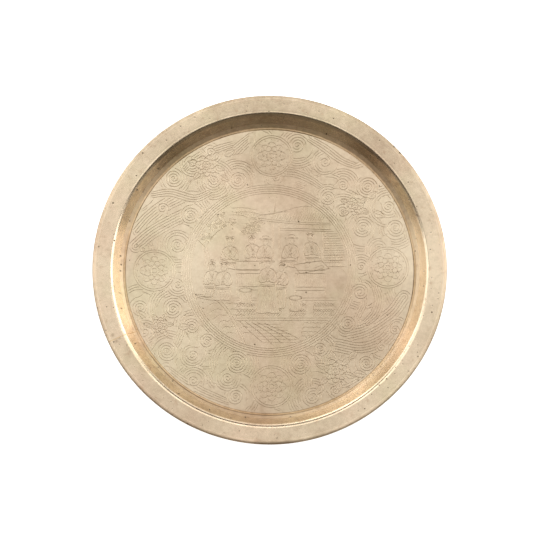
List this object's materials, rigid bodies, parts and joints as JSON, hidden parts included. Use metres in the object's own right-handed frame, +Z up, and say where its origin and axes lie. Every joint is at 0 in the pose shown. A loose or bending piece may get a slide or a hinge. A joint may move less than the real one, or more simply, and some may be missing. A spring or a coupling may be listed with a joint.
{
  "type": "serving tray",
  "caption": "Round brass tray with an engraved flat floor, a sloping wall and a flat flange whose edge is rolled over a wire.",
  "frame": {"origin": "centre of the tray, on the surface that its foot stands on", "axes": "+Z up, out of the well; +X to the right and +Y away from a person who looks at the engraved scene upright"},
  "size_m": [0.356, 0.356, 0.0159],
  "materials": {
    "engraved_brass": "satin brass, brushed, hand engraved, lightly tarnished",
    "rim_brass": "satin brass with a polished shoulder, lightly pitted",
    "iron_wire": "black annealed iron wire",
    "solder": "dull soft solder, darkened with dirt and polish",
    "braze": "filed brazing metal, a little yellower than the sheet"
  },
  "bodies": {
    "root": {"floor_plate": "engraved_brass", "rim_ring": "rim_brass", "edge_wire": "iron_wire", "joint_solder": "solder", "seam_braze": "braze"}
  },
  "joints": []
}
